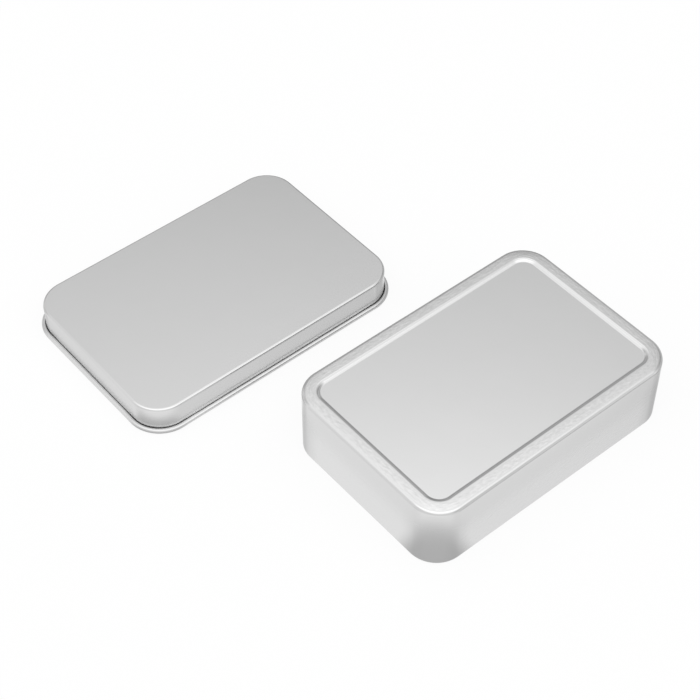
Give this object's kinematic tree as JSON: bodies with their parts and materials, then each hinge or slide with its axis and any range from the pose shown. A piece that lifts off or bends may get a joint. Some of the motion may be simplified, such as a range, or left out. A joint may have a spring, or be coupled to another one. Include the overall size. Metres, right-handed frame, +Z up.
{
  "type": "slip-lid storage tin",
  "caption": "Shallow rectangular tinplate box with round corners and a lift-off lid with a rolled rim, lying open with the base upside down.",
  "frame": {"origin": "middle of the pair's outline, on the surface that the base and the lid lie on", "axes": "+Z up, X along the long sides of both pieces, +Y from the base to the lid"},
  "size_m": [0.1296, 0.1574, 0.0238],
  "materials": {
    "tinplate": "satin bare tinplate, fine matt grain"
  },
  "bodies": {
    "base": {"base": "tinplate"},
    "lid": {"lid": "tinplate"}
  },
  "joints": [
    {"name": "lid_lift", "type": "slide", "parent": "base", "child": "lid", "axis": [0, 0, 1], "range_m": [0, 0.04]}
  ]
}
